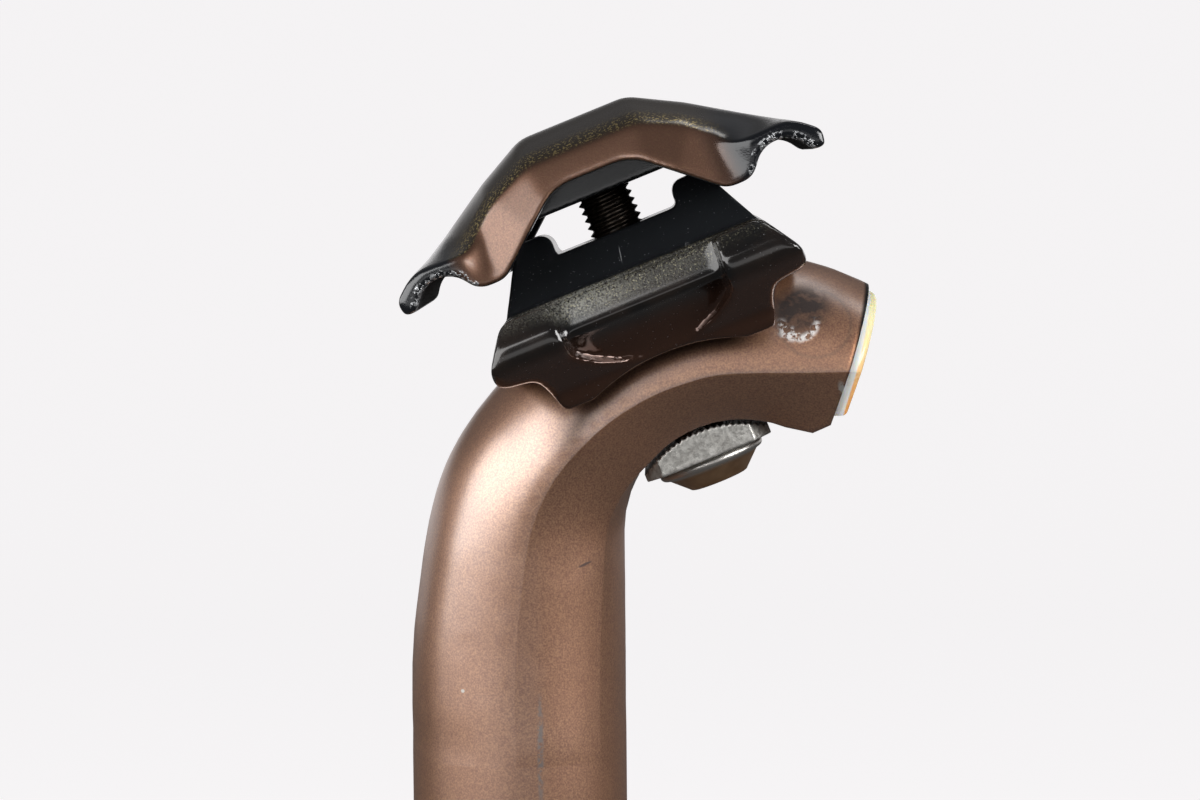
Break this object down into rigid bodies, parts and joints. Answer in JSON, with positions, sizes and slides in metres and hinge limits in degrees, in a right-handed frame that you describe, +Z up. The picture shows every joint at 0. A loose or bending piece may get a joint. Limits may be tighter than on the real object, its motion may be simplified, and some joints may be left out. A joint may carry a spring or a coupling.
{
  "type": "bicycle seatpost",
  "caption": "Bent setback seatpost in bronze metal with a swept hollow neck, a toothed tilt seat and a forged rail clamp on a single bolt.",
  "frame": {"origin": "centre of the shaft's lower end", "axes": "+Z up along the shaft, +X to the setback side, towards the neck's open end, +Y across the rails"},
  "size_m": [0.0591, 0.0586, 0.3183],
  "materials": {
    "post_paint": "satin",
    "plug": "gloss",
    "cradle_black": "gloss",
    "clamp_bronze": "satin",
    "bolt_steel": "polished",
    "washer_grey": "satin"
  },
  "bodies": {
    "post": {"post_tube": "post_paint", "neck_end_plug": "plug"},
    "cradle": {"lower_cradle": "cradle_black", "curved_washer": "washer_grey"},
    "bolt": {"clamp_bolt": "bolt_steel"},
    "clamp": {"top_clamp": "clamp_bronze"}
  },
  "joints": [
    {"name": "clamp_tilt", "type": "hinge", "parent": "post", "child": "cradle", "pos_m": [0.0282, 0, 0.2636], "axis": [0, 1, 0], "range_deg": [-3, 27]},
    {"name": "bolt_turn", "type": "hinge", "parent": "cradle", "child": "bolt", "pos_m": [0.0282, 0, 0.2636], "axis": [-0.3697, 0, 0.9291], "range_deg": [-1265, 545]},
    {"name": "top_clamp_lift", "type": "slide", "parent": "cradle", "child": "clamp", "axis": [-0.3697, 0, 0.9291], "range_m": [-0.0015, 0.0035]}
  ],
  "couplings": [
    {"joint": "bolt_turn", "follows": "top_clamp_lift", "rad_per_m": -6283.2}
  ]
}
